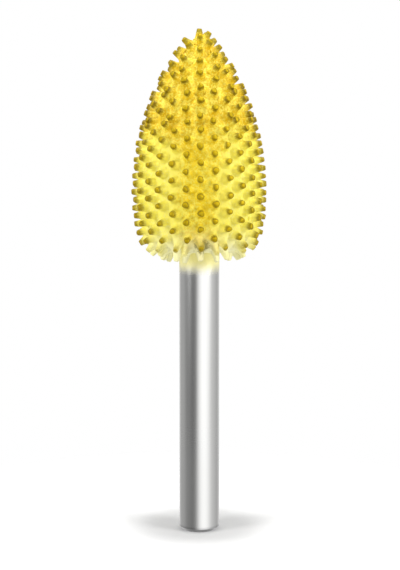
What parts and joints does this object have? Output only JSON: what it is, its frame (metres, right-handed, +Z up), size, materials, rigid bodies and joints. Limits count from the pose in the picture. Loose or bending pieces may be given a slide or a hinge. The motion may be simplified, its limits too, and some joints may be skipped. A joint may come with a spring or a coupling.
{
  "type": "rotary burr",
  "caption": "Flame-shaped burr head set all over with blunt carbide thorns, on a plain ground round shank.",
  "frame": {"origin": "centre of the shank's foot, which is the plane the tool stands on", "axes": "+Z up along the tool's axis, from the shank's foot to the nose of the head; -Y is the side in the picture"},
  "size_m": [0.0214, 0.0214, 0.0794],
  "materials": {
    "ground_steel": "fine ground steel, bright",
    "coated_carbide": "rough yellow coat over steel and brazed carbide teeth, worn to bare grey at the tips"
  },
  "bodies": {
    "root": {"shank": "ground_steel", "toothed_head": "coated_carbide"}
  },
  "joints": []
}
